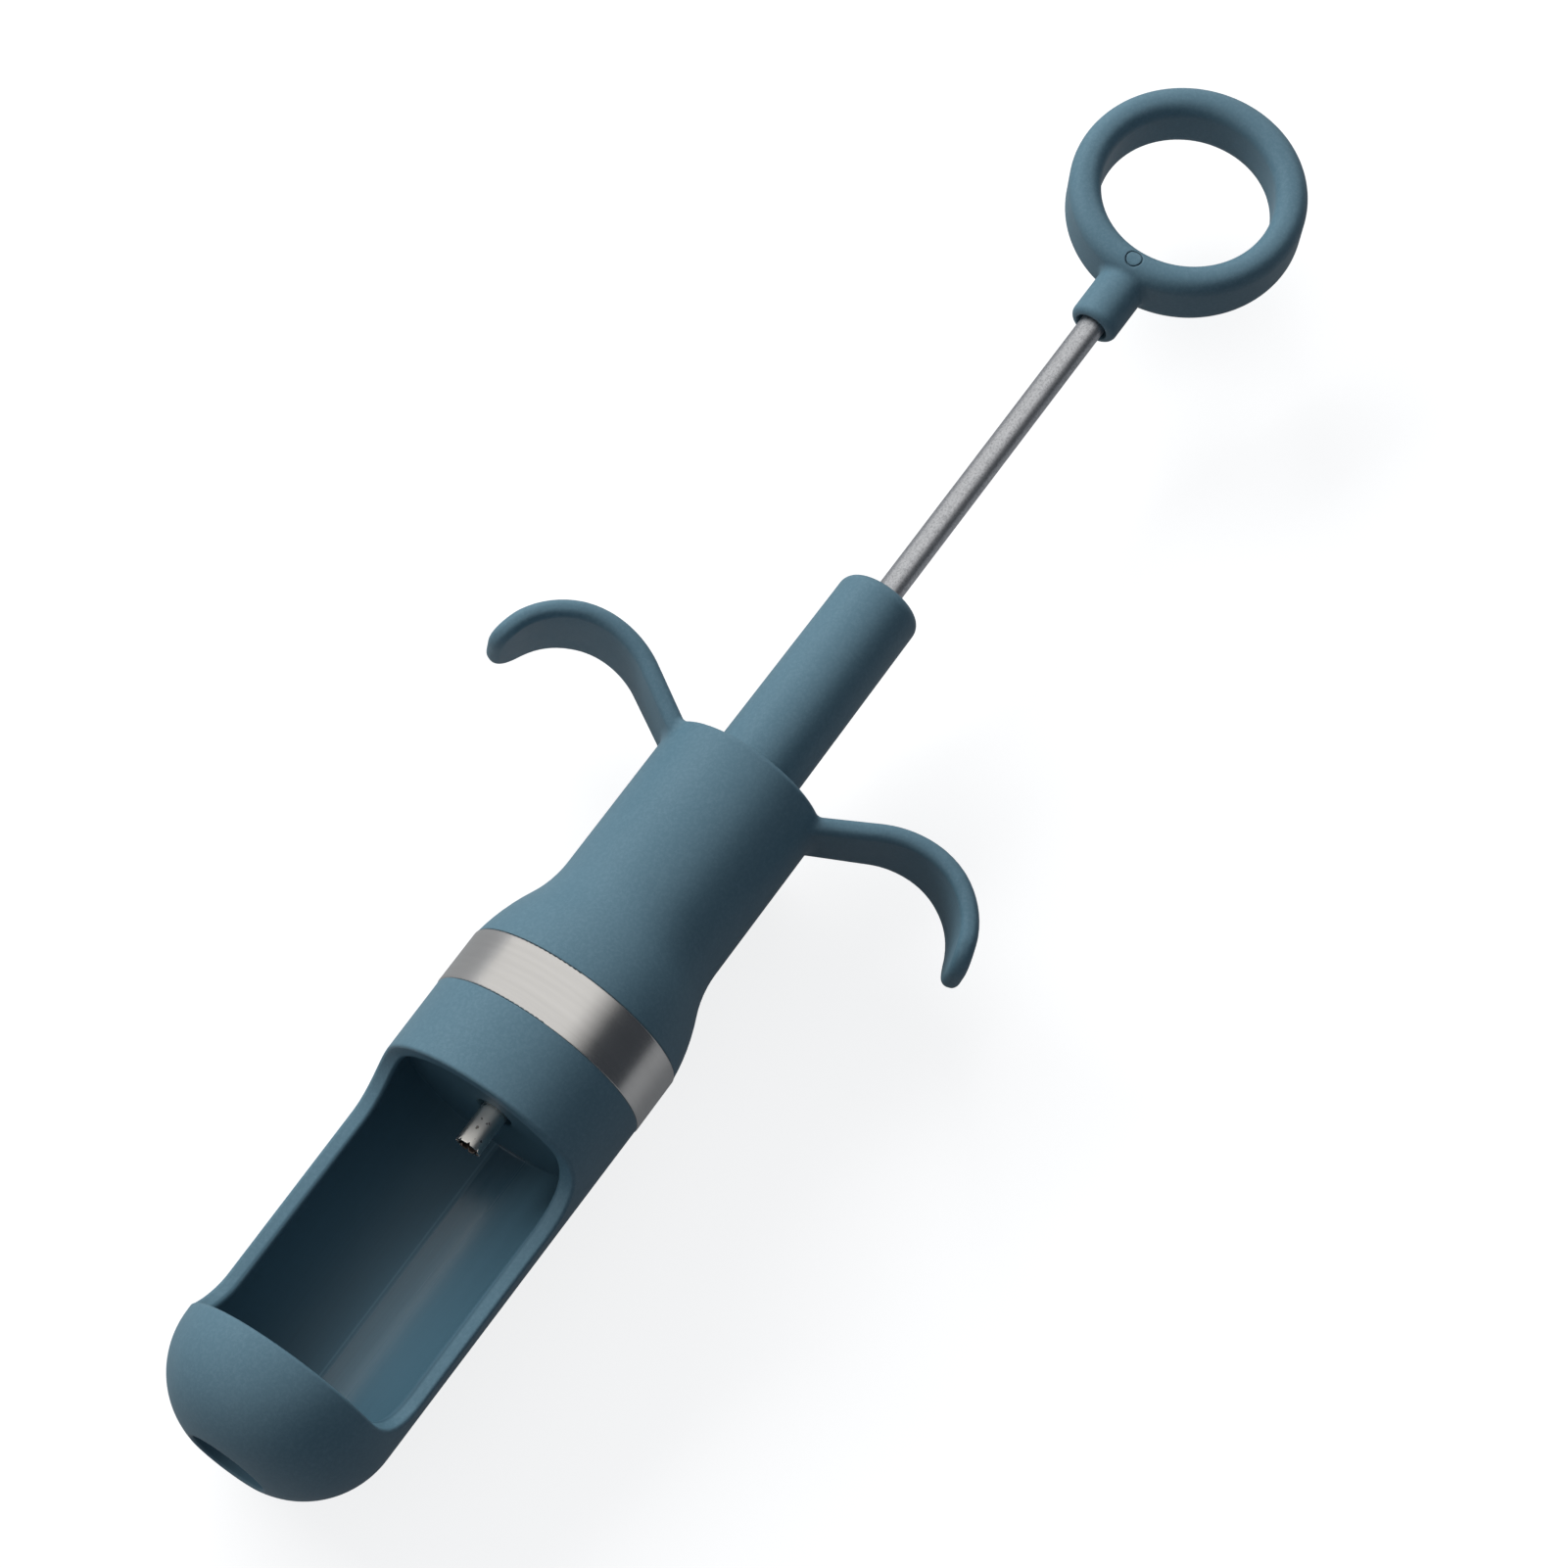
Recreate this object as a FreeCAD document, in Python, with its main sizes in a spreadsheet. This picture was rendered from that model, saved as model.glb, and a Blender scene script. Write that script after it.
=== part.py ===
"""Plunger cherry pitter: a windowed barrel, a grip with two finger hooks, and a spring-returned plunger.

The tool lies along X, the pit outlet at low X and the thumb ring at high X, with the hooks along Y.
Every piece is drawn in tool coordinates, x from the outlet end and the tool's axis on y = z = 0.
The pieces are then placed with the origin under the middle of the tool, on the surface that it lies on.
"""
import FreeCAD, Part
import math
import os
import Sketcher

# ---------------------------------------------------------------- driving dimensions, mm and degrees
DIMENSIONS = {
    # barrel
    "foot_draft": 0.4,
    "barrel_wall": 2.6,
    "chamber_length": 60.0,
    "dome_radius": 13.5,
    "outlet_radius": 5.9,
    "outlet_edge": 0.4,
    "window_start": 14.5,
    "window_top_gap": 2.1,
    "window_sink": 0.35,
    "window_corner_bottom": 7.2,
    "window_corner_top": 8.6,
    "window_edge": 0.5,
    "window_clock": 14.4,
    "ceiling_wall": 2.4,
    "ceiling_hole_gap": 0.85,
    "ceiling_hole_edge": 0.3,
    # steel band and screw joint
    "band_radius": 17.2,
    "band_length": 8.8,
    "band_wall": 0.8,
    "band_stand": 0.1,
    "band_edge": 0.2,
    "band_fit": 0.05,
    "band_gap": 0.03,
    "socket_wall": 2.75,
    "thread_fit": 0.5,
    "pilot_fit": 0.05,
    "pilot_length": 2.5,
    "joint_gap": 0.1,
    "spigot_gap": 2.8,
    "spigot_cover": 4.7,
    "spigot_wall": 1.48,
    "seal_section": 0.7,
    "seal_fit": 0.05,
    "seal_gap": 0.1,
    # grip
    "shoulder_round_length": 9.0,
    "shoulder_round_drop": 2.5,
    "shoulder_hollow_length": 7.2,
    "shoulder_hollow_drop": 1.55,
    "grip_length": 25.9,
    "grip_edge": 0.6,
    "grip_wall": 2.4,
    "grip_top_wall": 3.2,
    # neck
    "neck_length": 35.0,
    "neck_root_radius": 6.8,
    "neck_end_radius": 6.6,
    "neck_edge": 2.0,
    "neck_root_fillet": 0.5,
    "neck_bore_radius": 4.4,
    "lip_wall": 1.6,
    "lip_fit": 0.2,
    # finger hooks
    "hook_thickness": 2.7,
    "hook_root_sink": 2.25,
    "hook_root_drop": 2.03,
    "hook_slope": 30.0,
    "hook_root_length": 10.85,
    "hook_rise_radius": 14.85,
    "hook_fall_radius": 12.2,
    "hook_fall": 70.0,
    "hook_tip_length": 4.4,
    "hook_start_depth": 10.2,
    "hook_widest_depth": 14.6,
    "hook_widest_reach": 33.0,
    "hook_tip_corner": 5.5,
    "hook_edge": 1.2,
    "hook_root_fillet": 2.0,
    # plunger
    "stroke": 55.7,
    "tube_radius": 2.0,
    "tube_wall": 0.5,
    "tube_reach": 6.1,
    "tube_seat_depth": 8.0,
    "tooth_depth": 0.35,
    "tooth_width": 0.5,
    "tooth_count": 8,
    "collar_radius": 3.85,
    "collar_edge": 1.1,
    "collar_root_fillet": 1.2,
    "socket_mouth_gap": 0.65,
    "socket_mouth_depth": 2.2,
    "ring_setback": 26.7,
    "ring_radius": 15.75,
    "ring_half_thickness": 2.48,
    "ring_half_depth": 5.13,
    "ring_flat": 0.12,
    "ring_clock": 7.4,
    "gate_mark_radius": 1.35,
    "gate_mark_width": 0.2,
    "gate_mark_depth": 0.5,
    # guides and stop in the neck
    "wiper_length": 1.6,
    "bush_length": 7.0,
    "guide_fit": 0.05,
    "press_fit": 0.01,
    "bumper_length": 1.2,
    "bumper_play": 0.5,
    "bumper_hole_gap": 0.3,
    "rest_gap": 0.1,
    "stop_collar_length": 3.0,
    "stop_collar_play": 1.0,
    # spring and its seats
    "washer_length": 0.6,
    "washer_play": 0.3,
    "washer_fit": 0.08,
    "stack_gap": 0.05,
    "spring_radius": 3.45,
    "spring_wire": 0.6,
    "spring_turns": 23.0,
    "spring_play": 0.3,
    "disc_length": 3.0,
    "disc_fit": 0.02,
    "disc_ledge": 0.97,
    "disc_boss_length": 4.0,
    "disc_shelf": 0.4,
}

doc = FreeCAD.newDocument("cherry_pitter")
sheet = doc.addObject("Spreadsheet::Sheet", "dims")
for row, (alias, value) in enumerate(DIMENSIONS.items(), start=1):
    sheet.set(f"A{row}", alias)
    sheet.set(f"B{row}", str(value))
    sheet.setAlias(f"B{row}", alias)
doc.recompute()


class Size:
    """A length or angle: its number now, and the sheet formula that keeps it up to date."""

    def __init__(self, number, formula):
        self.number = number
        self.formula = formula

    def __add__(self, other):
        other = as_size(other)
        return Size(self.number + other.number, f"({self.formula} + {other.formula})")

    def __sub__(self, other):
        other = as_size(other)
        return Size(self.number - other.number, f"({self.formula} - {other.formula})")

    def __mul__(self, other):
        other = as_size(other)
        return Size(self.number * other.number, f"({self.formula} * {other.formula})")

    def __truediv__(self, other):
        other = as_size(other)
        return Size(self.number / other.number, f"({self.formula} / {other.formula})")

    def __rsub__(self, other):
        return as_size(other) - self

    __radd__ = __add__
    __rmul__ = __mul__


def as_size(value):
    """A plain number as a Size."""
    return value if isinstance(value, Size) else Size(value, repr(value))


def dim(alias):
    """The driving dimension of that name."""
    return Size(float(sheet.get(alias)), f"dims.{alias}")


def root(size):
    return Size(math.sqrt(size.number), f"sqrt({size.formula})")


def sine(size):
    return Size(math.sin(math.radians(size.number)), f"sin({size.formula})")


def cosine(size):
    return Size(math.cos(math.radians(size.number)), f"cos({size.formula})")


ZERO = as_size(0)

# ---------------------------------------------------------------- places along the tool, from the outlet end
CEILING = dim("chamber_length")
CEILING_TOP = CEILING + dim("ceiling_wall")
SPIGOT_END = CEILING_TOP + dim("spigot_gap")
BAND_START = SPIGOT_END + dim("spigot_cover")
BAND_END = BAND_START + dim("band_length")
SHOULDER_MIDDLE = BAND_END + dim("shoulder_round_length")
SHOULDER_END = SHOULDER_MIDDLE + dim("shoulder_hollow_length")
GRIP_END = SHOULDER_END + dim("grip_length")
NECK_END = GRIP_END + dim("neck_length")
COLLAR_START = NECK_END + dim("stroke")
RING_CENTRE = COLLAR_START + dim("ring_setback")
RING_END = RING_CENTRE + dim("ring_radius") + dim("ring_half_thickness")
TUBE_TIP = CEILING - dim("tube_reach")
SOCKET_MOUTH_END = COLLAR_START + dim("socket_mouth_depth")
TUBE_END = SOCKET_MOUTH_END + dim("tube_seat_depth")

# the stack in the neck, from its lip down to the spring
LIP_INNER = NECK_END - dim("lip_wall")
WIPER_START = LIP_INNER - dim("wiper_length")
BUSH_START = WIPER_START - dim("bush_length")
BUMPER_START = BUSH_START - dim("bumper_length")
STOP_END = BUMPER_START - dim("rest_gap")
STOP_START = STOP_END - dim("stop_collar_length")
UPPER_WASHER_END = STOP_START - dim("stack_gap")
UPPER_WASHER_START = UPPER_WASHER_END - dim("washer_length")
SPRING_END = UPPER_WASHER_START - dim("stack_gap")

# the stack in the spigot, from its end up to the spring
DISC_START = SPIGOT_END + dim("disc_shelf")
DISC_END = DISC_START + dim("disc_length")
LOWER_WASHER_START = DISC_END + dim("stack_gap")
LOWER_WASHER_END = LOWER_WASHER_START + dim("washer_length")
SPRING_START = LOWER_WASHER_END + dim("stack_gap")

# ---------------------------------------------------------------- radii that more than one piece shares
MOUTH_RADIUS = dim("band_radius") - dim("band_stand")
FOOT_RADIUS = MOUTH_RADIUS - dim("foot_draft")
SHOULDER_RADIUS = MOUTH_RADIUS - dim("shoulder_round_drop")
GRIP_RADIUS = SHOULDER_RADIUS - dim("shoulder_hollow_drop")
BAND_BORE = dim("band_radius") - dim("band_wall")
SOCKET_RADIUS = BAND_BORE - dim("band_fit") - dim("socket_wall")
PILOT_RADIUS = SOCKET_RADIUS - dim("pilot_fit")
THREAD_RADIUS = SOCKET_RADIUS - dim("thread_fit")
DISC_SEAT = THREAD_RADIUS - dim("spigot_wall")
TUBE_FIT = dim("tube_radius") + dim("press_fit")
TUBE_GUIDE = dim("tube_radius") + dim("guide_fit")
NECK_FIT = dim("neck_bore_radius") - dim("press_fit")
BUMPER_HOLE = dim("tube_radius") + dim("bumper_hole_gap")
BUMPER_RADIUS = dim("neck_bore_radius") - dim("bumper_play")
STOP_RADIUS = dim("neck_bore_radius") - dim("stop_collar_play")
WASHER_RADIUS = dim("neck_bore_radius") - dim("washer_play")
TUBE_WASHER_HOLE = dim("tube_radius") + dim("washer_fit")
BOSS_RADIUS = dim("spring_radius") - dim("spring_wire") / 2 - dim("spring_play")
BOSS_WASHER_HOLE = BOSS_RADIUS + dim("washer_fit")

# the seal's ring and groove, beside the spigot's pilot
PILOT_START = BAND_END - dim("pilot_length")
SEAL_HALF_GROOVE = dim("seal_section") + dim("seal_gap")
SEAL_CENTRE = PILOT_START - SEAL_HALF_GROOVE
SEAL_RADIUS = SOCKET_RADIUS - dim("seal_section") - dim("seal_fit")

# the rim of the outlet, where the dome ends
OUTLET_RISE = dim("outlet_radius") - (FOOT_RADIUS - dim("dome_radius"))
OUTLET_END = dim("dome_radius") - root(dim("dome_radius") * dim("dome_radius") - OUTLET_RISE * OUTLET_RISE)

# the surface that the tool lies on touches the band, the widest round of the tool
AXIS_HEIGHT = dim("band_radius")
MIDDLE = (OUTLET_END + RING_END) / 2


# ---------------------------------------------------------------- drawing helpers
def plane_of(body, role):
    """One of the body's own origin planes."""
    return next(part for part in body.Origin.OriginFeatures if part.Role == role)


def new_body(label, clock=None):
    """An empty body on the tool's axis, turned about it by the clock angle."""
    body = doc.addObject("PartDesign::Body", label)
    body.Label = label
    body.setExpression(".Placement.Base.x", (ZERO - MIDDLE).formula)
    body.setExpression(".Placement.Base.z", AXIS_HEIGHT.formula)
    if clock is not None:
        body.Placement = FreeCAD.Placement(body.Placement.Base, FreeCAD.Rotation(FreeCAD.Vector(1, 0, 0), 1))
        body.setExpression(".Placement.Rotation.Angle", (ZERO - clock).formula)
    return body


def pin_point(sketch, geometry, end, x, y):
    """Fixes a point of the sketch at two sizes from its origin."""
    if x is ZERO:
        sketch.addConstraint(Sketcher.Constraint("PointOnObject", geometry, end, -2))
    else:
        index = sketch.addConstraint(Sketcher.Constraint("DistanceX", -1, 1, geometry, end, x.number))
        sketch.setExpression(f"Constraints[{index}]", x.formula)
    if y is ZERO:
        sketch.addConstraint(Sketcher.Constraint("PointOnObject", geometry, end, -1))
    else:
        index = sketch.addConstraint(Sketcher.Constraint("DistanceY", -1, 1, geometry, end, y.number))
        sketch.setExpression(f"Constraints[{index}]", y.formula)


def arc_between(start, end, radius, side):
    """An arc from start to end with its centre on the left (side 1) or the right (side -1) of the way."""
    chord = end - start
    middle = (start + end) * 0.5
    left = FreeCAD.Vector(-chord.y, chord.x, 0).normalize()
    rise = math.sqrt(max(radius ** 2 - (chord.Length / 2) ** 2, 0))
    crest = middle + left * (side * (rise - radius))
    return Part.Arc(start, crest, end)


def draw(body, name, role, corners):
    """A closed outline. Each corner is (x, y) and, for an arc to the next corner, its radius and side."""
    sketch = body.newObject("Sketcher::SketchObject", name)
    sketch.AttachmentSupport = [(plane_of(body, role), "")]
    sketch.MapMode = "FlatFace"
    points = [FreeCAD.Vector(corner[0].number, corner[1].number, 0) for corner in corners]
    count = len(corners)
    starts = []
    for index, corner in enumerate(corners):
        here, there = points[index], points[(index + 1) % count]
        if len(corner) == 2:
            geometry = sketch.addGeometry(Part.LineSegment(here, there), False)
            starts.append((geometry, 1, 2))
        else:
            radius, side = corner[2], corner[3]
            geometry = sketch.addGeometry(arc_between(here, there, radius.number, side), False)
            turns_left = side > 0
            starts.append((geometry, 1, 2) if turns_left else (geometry, 2, 1))
    for index in range(count):
        this, following = starts[index], starts[(index + 1) % count]
        sketch.addConstraint(Sketcher.Constraint("Coincident", this[0], this[2], following[0], following[1]))
    for index, corner in enumerate(corners):
        pin_point(sketch, starts[index][0], starts[index][1], corner[0], corner[1])
        if len(corner) == 4:
            number = sketch.addConstraint(Sketcher.Constraint("Radius", starts[index][0], corner[2].number))
            sketch.setExpression(f"Constraints[{number}]", corner[2].formula)
    return sketch


def turn(body, name, corners):
    """A solid of revolution about the tool's axis."""
    sketch = draw(body, name + "_section", "XY_Plane", corners)
    feature = body.newObject("PartDesign::Revolution", name)
    feature.Profile = sketch
    feature.ReferenceAxis = (sketch, ["H_Axis"])
    feature.Angle = 360
    sketch.Visibility = False
    doc.recompute()
    return feature


def bore(body, name, corners):
    """Cuts a shape of revolution about the tool's axis out of the body."""
    before = body.Shape.Volume
    sketch = draw(body, name + "_section", "XY_Plane", corners)
    feature = body.newObject("PartDesign::Groove", name)
    feature.Profile = sketch
    feature.ReferenceAxis = (sketch, ["H_Axis"])
    feature.Angle = 360
    doc.recompute()
    check_cut(body, name, before)
    return feature


def bind(feature, prop, size):
    feature.setExpression(prop, size.formula)


def edge_names(feature, wanted):
    """The names of the feature's edges that the wanted test accepts."""
    return [f"Edge{n}" for n, edge in enumerate(feature.Shape.Edges, start=1) if wanted(edge)]


def fillet(body, base, name, size, wanted):
    """Rounds the edges of base that the wanted test accepts."""
    names = edge_names(base, wanted)
    if not names:
        raise RuntimeError(f"{body.Label}: {name} found no edges")
    feature = body.newObject("PartDesign::Fillet", name)
    feature.Base = (base, names)
    bind(feature, "Radius", size)
    doc.recompute()
    return feature


def check_cut(body, name, before):
    """Stops if the body's last cut left its volume as it was."""
    if body.Shape.Volume > before - 1e-3:
        raise RuntimeError(f"{body.Label}: the {name} cut nothing")


def is_circle(edge, radius):
    """A round edge of that radius."""
    return isinstance(edge.Curve, Part.Circle) and near(edge.Curve.Radius, radius)


def add_circle(sketch, x, y, radius):
    """A circle whose centre and radius follow the sheet."""
    centre = FreeCAD.Vector(x.number, y.number, 0)
    circle = sketch.addGeometry(Part.Circle(centre, FreeCAD.Vector(0, 0, 1), radius.number), False)
    pin_point(sketch, circle, 3, x, y)
    index = sketch.addConstraint(Sketcher.Constraint("Radius", circle, radius.number))
    sketch.setExpression(f"Constraints[{index}]", radius.formula)


def sleeve(label, start, end, inner, outer):
    """A plain ring or tube about the tool's axis."""
    body = new_body(label)
    turn(body, label + "_ring", [(start, inner), (end, inner), (end, outer), (start, outer)])
    return body


def near(value, size, tolerance=0.02):
    return abs(value - size.number) < tolerance


# ---------------------------------------------------------------- barrel
def make_fruit_chamber():
    """The windowed barrel: domed end with the outlet, ceiling, and the socket that screws on the grip."""
    body = new_body("fruit_chamber", dim("window_clock"))
    wall, dome, outlet = dim("barrel_wall"), dim("dome_radius"), dim("outlet_radius")
    hole = dim("tube_radius") + dim("ceiling_hole_gap")
    inner_dome = dome - wall
    inner_end = dome - root(inner_dome * inner_dome - OUTLET_RISE * OUTLET_RISE)
    seat = BAND_BORE - dim("band_fit")
    socket_end = BAND_END - dim("joint_gap")
    draft = dim("foot_draft") * (CEILING - dome) / (BAND_START - dome)
    shell = turn(body, "shell", [
        (inner_end, outlet, inner_dome, -1),
        (dome, FOOT_RADIUS - wall),
        (CEILING, FOOT_RADIUS - wall + draft),
        (CEILING, hole),
        (CEILING_TOP, hole),
        (CEILING_TOP, SOCKET_RADIUS),
        (socket_end, SOCKET_RADIUS),
        (socket_end, seat),
        (BAND_START, seat),
        (BAND_START, MOUTH_RADIUS),
        (dome, FOOT_RADIUS, dome, 1),
        (OUTLET_END, outlet),
    ])
    fillet(body, shell, "outlet_edges", dim("outlet_edge"), lambda edge: is_circle(edge, outlet))
    fillet(body, body.Tip, "ceiling_hole_edge", dim("ceiling_hole_edge"), lambda edge: is_circle(edge, hole))
    bottom, top = dim("window_start"), CEILING - dim("window_top_gap")
    low_corner, high_corner = dim("window_corner_bottom"), dim("window_corner_top")
    rim = ZERO - dim("window_sink")
    past = MOUTH_RADIUS + wall
    before = body.Shape.Volume
    outline = draw(body, "window_outline", "XZ_Plane", [
        (bottom + low_corner, rim),
        (top - high_corner, rim, high_corner, 1),
        (top, rim + high_corner),
        (top, past),
        (bottom, past),
        (bottom, rim + low_corner, low_corner, 1),
    ])
    window = body.newObject("PartDesign::Pocket", "window")
    window.Profile = outline
    window.SideType = "Symmetric"
    bind(window, "Length", past * 2)
    doc.recompute()
    check_cut(body, "window", before)

    def on_window(point):
        """True on the flat rims, the two end faces or the two rounded corners of the window."""
        low = math.hypot(point.x - (bottom + low_corner).number, point.z - (rim + low_corner).number)
        high = math.hypot(point.x - (top - high_corner).number, point.z - (rim + high_corner).number)
        return (
            near(point.z, rim) or near(point.x, bottom) or near(point.x, top)
            or near(low, low_corner) or near(high, high_corner)
        )

    def is_window_edge(edge):
        """An edge where the window meets the barrel's outer or inner face."""
        first, last = edge.firstVertex().Point, edge.lastVertex().Point
        spread = abs(math.hypot(first.y, first.z) - math.hypot(last.y, last.z))
        return spread < wall.number / 2 and all(on_window(point) for point in edge.discretize(5))

    fillet(body, window, "window_edges", dim("window_edge"), is_window_edge)
    return body


def make_steel_band():
    """The trim ring that the barrel and the grip hold between their shoulders."""
    body = new_body("steel_band")
    outer, edge = dim("band_radius"), dim("band_edge")
    start, end = BAND_START + dim("band_gap"), BAND_END - dim("band_gap")
    turn(body, "band_ring", [
        (start, BAND_BORE),
        (end, BAND_BORE),
        (end, outer - edge, edge, 1),
        (end - edge, outer),
        (start + edge, outer, edge, 1),
        (start, outer - edge),
    ])
    return body


# ---------------------------------------------------------------- grip
def make_grip_housing():
    """Spigot, shoulder, grip, neck and the two finger hooks, one moulding with a bore right through."""
    body = new_body("grip_housing")
    add_hooks(body)
    spigot_bore = DISC_SEAT - dim("disc_ledge")
    grip_edge, grip_bore = dim("grip_edge"), GRIP_RADIUS - dim("grip_wall")
    grip_bore_end = GRIP_END - dim("grip_top_wall")
    neck_root, neck_fillet = dim("neck_root_radius"), dim("neck_root_fillet")
    neck_end, neck_edge = dim("neck_end_radius"), dim("neck_edge")
    neck_bore, lip_hole = dim("neck_bore_radius"), dim("tube_radius") + dim("lip_fit")
    groove_floor = SEAL_RADIUS - dim("seal_section") - dim("seal_fit")

    # the shoulder is a round arc and a hollow arc, in line where they meet and in line with the grip
    round_run, round_drop = dim("shoulder_round_length"), dim("shoulder_round_drop")
    hollow_run, hollow_drop = dim("shoulder_hollow_length"), dim("shoulder_hollow_drop")
    hollow = (hollow_run * hollow_run + hollow_drop * hollow_drop) / (hollow_drop * 2)
    round_chord = round_run * round_run + round_drop * round_drop
    rounded = round_chord * hollow / ((hollow_run * round_run - (hollow - hollow_drop) * round_drop) * 2)

    moulding = turn(body, "moulding", [
        (SPIGOT_END, DISC_SEAT),
        (DISC_END, DISC_SEAT),
        (DISC_END, spigot_bore),
        (BAND_END, spigot_bore),
        (SHOULDER_END, grip_bore),
        (grip_bore_end, grip_bore),
        (grip_bore_end, neck_bore),
        (LIP_INNER, neck_bore),
        (LIP_INNER, lip_hole),
        (NECK_END, lip_hole),
        (NECK_END, neck_end - neck_edge, neck_edge, 1),
        (NECK_END - neck_edge, neck_end),
        (GRIP_END + neck_fillet, neck_root, neck_fillet, -1),
        (GRIP_END, neck_root + neck_fillet),
        (GRIP_END, GRIP_RADIUS - grip_edge, grip_edge, 1),
        (GRIP_END - grip_edge, GRIP_RADIUS),
        (SHOULDER_END, GRIP_RADIUS, hollow, -1),
        (SHOULDER_MIDDLE, SHOULDER_RADIUS, rounded, 1),
        (BAND_END, MOUTH_RADIUS),
        (BAND_END, PILOT_RADIUS),
        (PILOT_START, PILOT_RADIUS),
        (PILOT_START, groove_floor),
        (SEAL_CENTRE - SEAL_HALF_GROOVE, groove_floor),
        (SEAL_CENTRE - SEAL_HALF_GROOVE, THREAD_RADIUS),
        (SPIGOT_END, THREAD_RADIUS),
    ])

    def is_root_edge(edge):
        """An edge where a hook meets the grip's side, rim or top."""
        at_rim = all(
            abs(point.y) > GRIP_RADIUS.number * 0.8
            and math.hypot(point.y, point.z) < GRIP_RADIUS.number + 0.05
            and point.x > grip_bore_end.number - 1
            for point in edge.discretize(5)
        )
        return at_rim and not (isinstance(edge.Curve, Part.Circle) and near(edge.Curve.Center.y, ZERO))

    fillet(body, moulding, "hook_root_fillet", dim("hook_root_fillet"), is_root_edge)
    return body


def add_hooks(body):
    """Two curved blades: up from the grip's top rim, over, and down towards the barrel."""
    half, slope, fall = dim("hook_thickness") / 2, dim("hook_slope"), dim("hook_fall")
    rise_radius, fall_radius = dim("hook_rise_radius"), dim("hook_fall_radius")
    root_x, root_y = GRIP_END - dim("hook_root_drop"), GRIP_RADIUS - dim("hook_root_sink")
    climb, tip = dim("hook_root_length"), dim("hook_tip_length")
    crest_x = root_x + climb * sine(slope) + rise_radius * (1 - cosine(slope))
    crest_y = root_y + climb * cosine(slope) + rise_radius * sine(slope)

    def on_slope(offset, back):
        """A point that far above the blade's middle line, that far back from the end of its straight root."""
        radius = rise_radius + offset
        x = crest_x - rise_radius + radius * cosine(slope) - back * sine(slope)
        y = crest_y - radius * sine(slope) - back * cosine(slope)
        return x, y

    def on_fall(offset, ahead):
        """A point that far outside the blade's middle line, that far along its straight tip."""
        radius = fall_radius + offset
        x = crest_x - fall_radius + radius * cosine(fall) - ahead * sine(fall)
        y = crest_y + radius * sine(fall) + ahead * cosine(fall)
        return x, y

    inside = ZERO - half
    outline = draw(body, "hook_outline", "XY_Plane", [
        on_slope(inside, climb),
        on_slope(half, climb),
        (*on_slope(half, ZERO), rise_radius + half, 1),
        (crest_x + half, crest_y, fall_radius + half, 1),
        on_fall(half, ZERO),
        on_fall(half, tip),
        on_fall(inside, tip),
        (*on_fall(inside, ZERO), fall_radius - half, -1),
        (crest_x - half, crest_y, rise_radius - half, -1),
        on_slope(inside, ZERO),
    ])
    depth = dim("hook_widest_depth")
    half_depth = depth / 2
    blade = body.newObject("PartDesign::Pad", "hook_blade")
    blade.Profile = outline
    blade.SideType = "Symmetric"
    bind(blade, "Length", depth)
    doc.recompute()

    def is_tip_corner(edge):
        """A short edge through the blade's end, on its front or back face."""
        ends = [corner.Point for corner in edge.Vertexes]
        through = near(edge.Length, dim("hook_thickness"))
        return through and all(near(abs(end.z), half_depth) and end.y > crest_y.number for end in ends)

    corners = fillet(body, blade, "hook_tip_corners", dim("hook_tip_corner"), is_tip_corner)

    # seen along the tool, the blade widens evenly from the grip to its widest place
    start, middle = dim("hook_start_depth") / 2, dim("hook_widest_reach")
    past_crest = (crest_x + half) * 2 + depth
    cuts = []
    for name, way in (("hook_front", 1), ("hook_back", -1)):
        before = body.Shape.Volume
        cut = body.newObject("PartDesign::Pocket", name)
        cut.Profile = draw(body, name + "_outline", "YZ_Plane", [
            (ZERO, start * way),
            (middle, half_depth * way),
            (middle, depth * way),
            (ZERO, depth * way),
        ])
        cut.SideType = "Symmetric"
        bind(cut, "Length", past_crest)
        doc.recompute()
        check_cut(body, name, before)
        cuts.append(cut)
    tip_edges = [on_fall(half, tip), on_fall(inside, tip)]

    def is_outer_edge(edge):
        """An edge along the blade's sides or round its tip, outside the grip."""
        ends = [corner.Point for corner in edge.Vertexes]
        step = ends[-1] - ends[0]
        across = math.hypot(step.x, step.y) < 0.02
        through = abs(step.z) < 0.02 and edge.Length < dim("hook_thickness").number * 1.4
        at_tip = any(near(ends[0].x, x) and near(ends[0].y, y) for x, y in tip_edges)
        in_grip = all(point.y < GRIP_RADIUS.number - 0.5 for point in ends)
        return not in_grip and not through and (at_tip or not across)

    rounded = fillet(body, cuts[-1], "hook_edges", dim("hook_edge"), is_outer_edge)
    pair = body.newObject("PartDesign::Mirrored", "hook_pair")
    pair.Originals = [blade, corners, *cuts, rounded]
    pair.MirrorPlane = (plane_of(body, "XZ_Plane"), [""])
    body.Tip = pair
    doc.recompute()


def make_guide_disc():
    """The disc pressed in the spigot: lower guide of the tube, and the boss that centres the spring."""
    body = new_body("guide_disc")
    boss_end = DISC_END + dim("disc_boss_length")
    disc_radius = DISC_SEAT - dim("disc_fit")
    turn(body, "disc", [
        (DISC_START, TUBE_GUIDE),
        (boss_end, TUBE_GUIDE),
        (boss_end, BOSS_RADIUS),
        (DISC_END, BOSS_RADIUS),
        (DISC_END, disc_radius),
        (DISC_START, disc_radius),
    ])
    return body


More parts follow.
